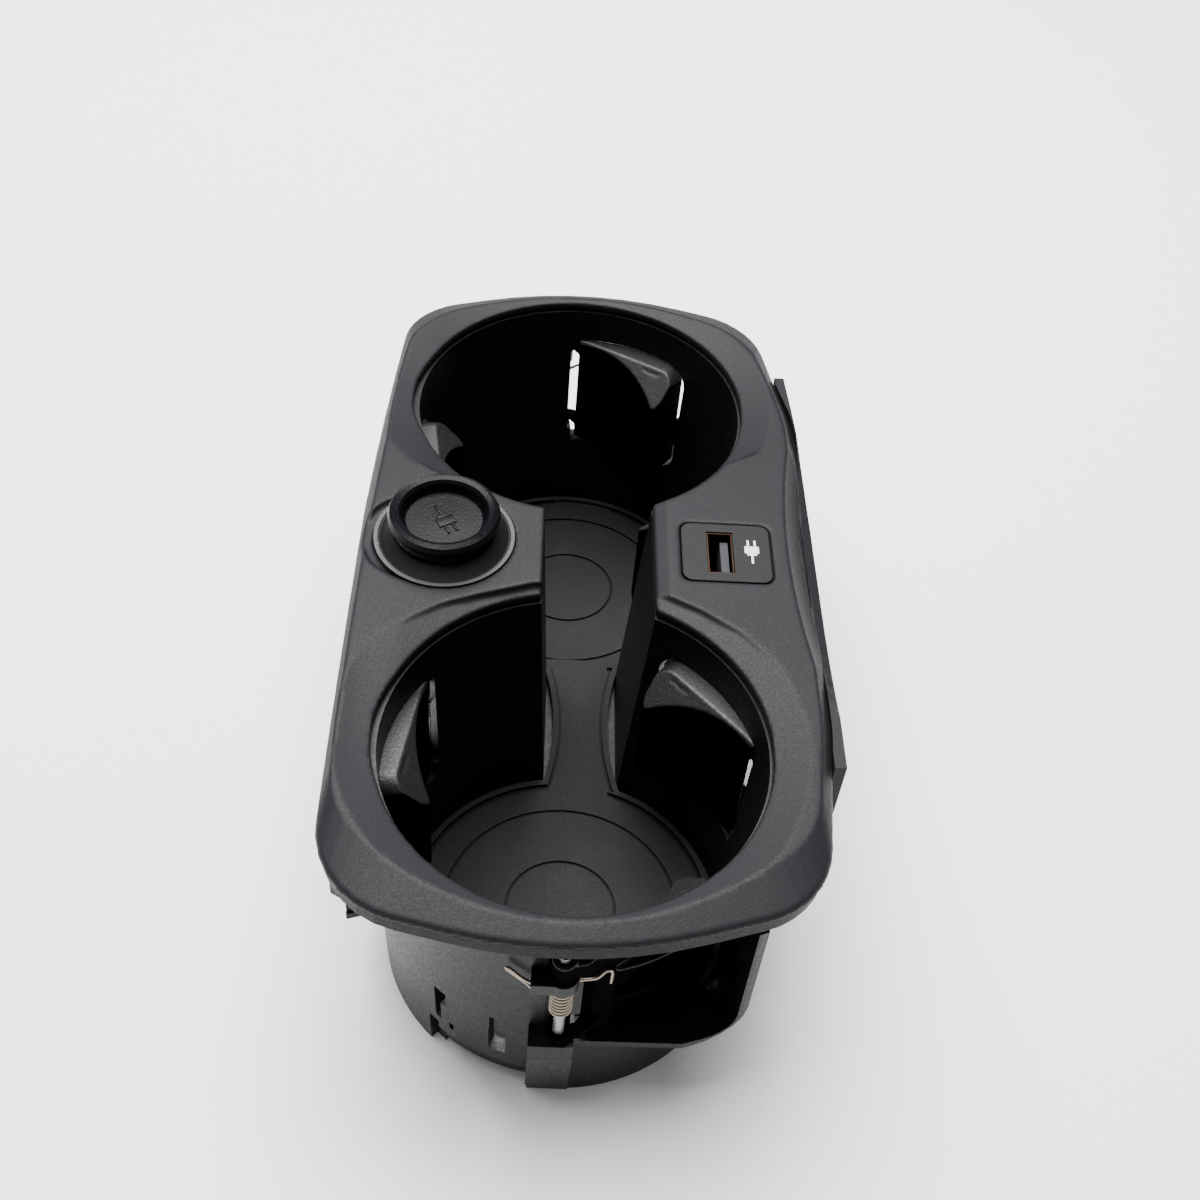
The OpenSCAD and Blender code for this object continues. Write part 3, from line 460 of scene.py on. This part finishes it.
# %% The bezel
MOUTH_R = 42
CROWN_Z = 77.2
LEFT_PANEL_X, RIGHT_PANEL_X = 8.1, 18.0
PANEL_EDGES = {LEFT_PANEL_X: -1, RIGHT_PANEL_X: 1}
BAND_W, BAND_DROP, BAND_HALF = 3.4, 1.3, 17
CORNER_R, CORNER_REACH = 2.0, 1.5
CUT_LOW, CUT_HIGH = 70, 80
SLOPE_W, SLOPE_H = 9, 6


def box_cutter(low, high):
    middle = (Vector(low) + Vector(high)) / 2
    bpy.ops.mesh.primitive_cube_add(size=1, location=middle * MM)
    cutter = bpy.context.object
    cutter.scale = (Vector(high) - Vector(low)) * MM
    bpy.ops.object.transform_apply(location=True, rotation=True, scale=True)
    return cutter


def cut(piece, cutter):
    """Takes the cutter's shape away from the piece."""
    apply_modifier(piece, "BOOLEAN", object=cutter, operation="DIFFERENCE", solver="EXACT")
    bpy.data.objects.remove(cutter)


def corner_cutter(edge_x, inward, side, radius):
    """What lies outside the rounded corner where a panel's channel edge meets a cup's mouth."""
    x = edge_x + inward * radius
    y = side * (HALF_PITCH - math.sqrt((MOUTH_R + radius) ** 2 - x ** 2))
    across, along = sorted((x, edge_x - inward)), sorted((y, y + side * (radius + CORNER_REACH)))
    cutter = box_cutter((across[0], along[0], CUT_LOW), (across[1], along[1], CUT_HIGH))
    bpy.ops.mesh.primitive_cylinder_add(vertices=64, radius=radius * MM, depth=3 * (CUT_HIGH - CUT_LOW) * MM,
                                        location=Vector((x, y, (CUT_LOW + CUT_HIGH) / 2)) * MM)
    cut(cutter, bpy.context.object)
    return cutter


bezel = merged_copy("bezel")
slope = box_cutter((-SLOPE_W, -BAND_HALF, 0), (0, BAND_HALF, SLOPE_H))
slope.rotation_euler = (0, -math.atan2(BAND_DROP, BAND_W), 0)
slope.location = Vector((RIGHT_PANEL_X + BAND_W, 0, CROWN_Z)) * MM
bpy.ops.object.transform_apply(location=True, rotation=True, scale=True)
cut(bezel, slope)
for edge_x, inward in PANEL_EDGES.items():
    for side in (-1, 1):
        cut(bezel, corner_cutter(edge_x, inward, side, CORNER_R))
even_grid(bezel, BEZEL_GRID)
eased_edges(bezel, EASE_ROUNDS)
print("bezel polygons", len(bezel.data.polygons))

# %% [markdown]
# The left flank of the real holder is bowed out a little between its corners, on the bezel
# and on the carrier below it alike. Both copies are bowed by one function, so they still match.
# The inner top edge of the side strip is drawn in a little, to close the gap to the bezel.

# %% The bowed left flank
BOW, BOW_MIDDLE, BOW_HALF = 2.7, 8.0, 90.0
FLANK_FROM, FLANK_FULL, FLANK_LIMIT = -38.0, -46.0, -51.25
STRIP_SWEEP, STRIP_HALF, STRIP_FACE = 2.8, 69, 1.0
STRIP_TOP_Z, STRIP_DRAW = 68, 0.55


def bow_left(piece):
    for corner in piece.data.vertices:
        x, y = corner.co.x / MM, corner.co.y / MM
        share = min(1.0, max(0.0, (FLANK_FROM - x) / (FLANK_FROM - FLANK_FULL)))
        reach = max(0.0, 1 - ((y - BOW_MIDDLE) / BOW_HALF) ** 2)
        out = BOW * reach * share * share * (3 - 2 * share)
        corner.co.x = min(x, max(x - out, FLANK_LIMIT)) * MM
    piece.data.update()


bow_left(bezel)
seat(bezel, "bezel")
carrier = merged_copy("carrier")
bow_left(carrier)
pick(carrier)
bpy.ops.object.shade_smooth_by_angle(angle=math.radians(30))
seat(carrier, "carrier")
strip = merged_copy("side_strip")
for corner in strip.data.vertices:
    sweep = STRIP_SWEEP * (max(corner.co.y / MM, 0) / STRIP_HALF) ** 2
    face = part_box("side_strip")[1].x - sweep * MM
    if corner.co.x < face - STRIP_FACE * MM and corner.co.z > STRIP_TOP_Z * MM:
        corner.co.x -= STRIP_DRAW * MM
seat(strip, "side_strip")
print("left flank bowed, strip drawn in to the bezel")

# %% [markdown]
# A torsion spring is one length of wire: a leg that presses on the flap, seven turns round
# the pin, and a leg folded back on itself against the housing. A helix could be turned from
# a circle with a Screw modifier, but the legs have to leave it smoothly, so the whole wire is
# one curve with a round section, drawn once beside a flap's pin and set at all six flaps.

# %% Spring wire
PIN_X = 44.8
COIL_R, WIRE_R, TURNS = 2.12, 0.36, 7
COIL_LOW, COIL_HIGH = 43.6, 52.3


def eased(points, steps=6):
    """A smooth line through a few points (Catmull-Rom)."""
    points = [Vector(q) for q in points]
    ends = [points[0] * 2 - points[1], *points, points[-1] * 2 - points[-2]]
    line = []
    for a, b, c, d in zip(ends, ends[1:], ends[2:], ends[3:]):
        for i in range(steps):
            t = i / steps
            line.append(0.5 * (2 * b + (c - a) * t + (2 * a - 5 * b + 4 * c - d) * t ** 2
                               + (3 * b - a - 3 * c + d) * t ** 3))
    return line + [points[-1]]


TURN_STEPS = 20
flap_leg = eased([(41.9, 9.9, 49.9), (41.9, 9.95, 53.4), (42.0, 9.6, 54.8), (42.3, 8.6, 55.1),
                  (43.0, 6.8, 53.4), (42.9, 3.9, 52.2), (42.75, 2.0, 51.0), (42.7, 1.0, 47.6)])
coil_wire = [Vector((PIN_X - COIL_R * math.cos(a), -COIL_R * math.sin(a),
                     COIL_LOW + (COIL_HIGH - COIL_LOW) * a / (TURNS * math.tau)))
             for a in [i * math.tau / TURN_STEPS for i in range(TURNS * TURN_STEPS + 1)]]
wall_leg = eased([(42.7, -1.6, 52.4), (43.9, -3.3, 50.9), (45.5, -4.6, 50.7), (44.5, -7.4, 52.9),
                  (43.7, -10.8, 55.9), (43.5, -11.4, 56.6),
                  (43.8, -10.7, 56.8), (44.3, -8.2, 54.3), (44.6, -6.2, 52.9)])
spring_line = flap_leg + coil_wire + wall_leg
wire_length = sum((b - a).length for a, b in zip(spring_line, spring_line[1:]))
print("one spring uses", round(wire_length), "mm of wire")


def wire_piece(name, points, radius_mm):
    deselect_all()
    bpy.ops.curve.primitive_nurbs_path_add(location=(0, 0, 0))
    curve = bpy.context.object
    curve.name = name
    curve.data.splines.clear()
    line = curve.data.splines.new("POLY")
    line.points.add(len(points) - 1)
    for place, point in zip(line.points, points):
        place.co = (*point, 1)
    curve.data.bevel_depth = radius_mm * MM
    curve.data.bevel_resolution = 3
    curve.data.use_fill_caps = True
    pick(curve)
    bpy.ops.object.convert(target="MESH")
    bpy.ops.object.shade_smooth_by_angle(angle=math.radians(50))
    return bpy.context.object


for where in PIN_ANGLES:
    wire = wire_piece("wire_" + where, [at_flap(q, where) for q in spring_line], WIRE_R)
    seat(wire, "spring_" + where)
print("springs wound")

# %% [markdown]
# Two small plug signs tell what the outlets are for: one raised in the rubber of the cap,
# and one printed white beside the USB port. A sign is built from a few bars with rounded
# corners, joined into one piece.

# %% Plug signs
white_print, print_tree, print_shader = new_material("white_print")
print_tree.links.new(ramp(print_tree, noise(print_tree, 0.5, 3), [(0.3, 0.62), (0.7, 0.74)]),
                     print_shader.inputs["Base Color"])
print_shader.inputs["Roughness"].default_value = 0.55


def bar(centre, size, round_mm):
    """A flat bar with rounded corners, sizes in millimetres."""
    bpy.ops.mesh.primitive_cube_add(size=1, location=Vector(centre) * MM)
    piece = bpy.context.object
    piece.scale = Vector(size) * MM
    bpy.ops.object.transform_apply(location=True, rotation=True, scale=True)
    corner = piece.modifiers.new("corner", "BEVEL")
    corner.width = round_mm * MM
    corner.segments = 4
    corner.limit_method = "ANGLE"
    bpy.ops.object.modifier_apply(modifier=corner.name)
    return piece


def plug_sign(name, centre, length, thick, turn_deg=0):
    """Two prongs, a body and a stub of cord, length in millimetres from end to end."""
    deselect_all()
    x, y, z = centre
    u = length / 8
    parts = [bar((x + side * 0.85 * u, y + 2.9 * u, z), (0.55 * u, 2.2 * u, thick), thick * 0.3)
             for side in (-1, 1)]
    parts.append(bar((x, y + 0.7 * u, z), (3.6 * u, 2.4 * u, thick), thick * 0.3))
    parts.append(bar((x, y - 0.8 * u, z), (2.4 * u, 0.9 * u, thick), thick * 0.3))
    parts.append(bar((x, y - 2.6 * u, z), (0.55 * u, 2.8 * u, thick), thick * 0.3))
    deselect_all()
    for part in parts:
        part.select_set(True)
    bpy.context.view_layer.objects.active = parts[0]
    bpy.ops.object.join()
    sign = bpy.context.object
    sign.name = name
    if turn_deg:
        bpy.ops.object.mode_set(mode="EDIT")
        bpy.ops.mesh.select_all(action="SELECT")
        bpy.ops.transform.rotate(value=math.radians(turn_deg), orient_axis="Z",
                                 center_override=Vector(centre) * MM)
        bpy.ops.object.mode_set(mode="OBJECT")
    bpy.ops.object.shade_smooth_by_angle(angle=math.radians(40))
    return sign


port_sign = plug_sign("port_sign", (40.9, 0.8, 77.12), 7.6, 0.06)
port_sign.data.materials.append(white_print)
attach(port_sign, body_of_node("usb_panel"))
cap_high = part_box("socket_cap")[1]
cap_sign = plug_sign("cap_sign", (-31.3, 1.2, cap_high.z / MM - 3.0), 9.5, 0.5, 150)
cap_sign.data.materials.append(cap_rubber)
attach(cap_sign, body_of_node("socket_cap"))
print("signs done")

# %% [markdown]
# The camera stands where the photograph was taken: in front of the part, a little to its left,
# looking down at about 47 degrees and tilted by a few degrees.

# %% Camera
CAMERA_PLACE = Vector((-11.48, -247.08, 325.66)) * MM
YAW, PITCH, ROLL = math.radians(4.11), math.radians(47.11), math.radians(5.65)
forward = Vector((math.sin(YAW) * math.cos(PITCH), math.cos(YAW) * math.cos(PITCH), -math.sin(PITCH)))
level = Vector((math.cos(YAW), -math.sin(YAW), 0))
upward = level.cross(forward)
right = math.cos(ROLL) * level + math.sin(ROLL) * upward
up = -math.sin(ROLL) * level + math.cos(ROLL) * upward
camera_data = bpy.data.cameras.new("camera")
camera_data.sensor_width = 36
camera_data.lens = 44.98
camera_data.clip_start = 0.01
camera = bpy.data.objects.new("camera", camera_data)
bpy.context.scene.collection.objects.link(camera)
turn = Matrix((right, up, -forward)).transposed()
camera.matrix_world = Matrix.Translation(CAMERA_PLACE) @ turn.to_4x4()
bpy.context.scene.camera = camera
print("camera at", [round(v, 3) for v in camera.location])

# %% [markdown]
# The photograph has a plain white ground and soft light from above. A large panel overhead,
# a weak one in front and a sky that is brightest at the top come close to it. The ground gets
# a little paler towards the back.

# %% Floor and light
bpy.ops.mesh.primitive_plane_add(size=6, location=(0, 0, -0.0002))
floor = bpy.context.object
floor.name = "floor"
floor_finish, floor_tree, floor_shader = new_material("floor_white")
floor_shader.inputs["Roughness"].default_value = 0.9
# Painted light: the floor's colour is paler towards the back, standing in for light that falls off towards
# the front.
GROUND_FRONT, GROUND_DEEP = -400, 900
ground_y = calc(floor_tree, "ADD", place_mm(floor_tree)[1], -GROUND_FRONT)
painted_light_share = calc(floor_tree, "DIVIDE", ground_y, GROUND_DEEP)
floor_tree.links.new(ramp(floor_tree, painted_light_share, [(0.1, (0.88, 0.88, 0.885)), (0.9, (0.99, 0.99, 1.0))]),
                     floor_shader.inputs["Base Color"])
floor.data.materials.append(floor_finish)


def panel_light(name, place, size, power, aim=(0, 0, 0.04)):
    light_data = bpy.data.lights.new(name, "AREA")
    light_data.shape = "RECTANGLE"
    light_data.size, light_data.size_y = size
    light_data.energy = power
    light = bpy.data.objects.new(name, light_data)
    light.location = place
    light.rotation_euler = (Vector(aim) - Vector(place)).to_track_quat("-Z", "Y").to_euler()
    bpy.context.scene.collection.objects.link(light)


panel_light("overhead", (-0.12, 0.3, 1.1), (1.0, 1.0), 60)
panel_light("front_fill", (-0.4, -1.0, 0.9), (0.8, 0.8), 1)
sky = bpy.data.worlds.new("sky")
sky.use_nodes = True
sky_tree = sky.node_tree
sky_coords = sky_tree.nodes.new("ShaderNodeTexCoord")
sky_split = sky_tree.nodes.new("ShaderNodeSeparateXYZ")
sky_tree.links.new(sky_coords.outputs["Generated"], sky_split.inputs["Vector"])
sky_greys = ramp(sky_tree, sky_split.outputs["Z"], [(0.0, 0.4), (0.5, 0.3), (0.8, 0.45), (0.97, 1.0)])
sky_tree.links.new(sky_greys, sky_tree.nodes["Background"].inputs["Color"])
sky_tree.nodes["Background"].inputs["Strength"].default_value = 0.68
bpy.context.scene.world = sky
print("light ready")
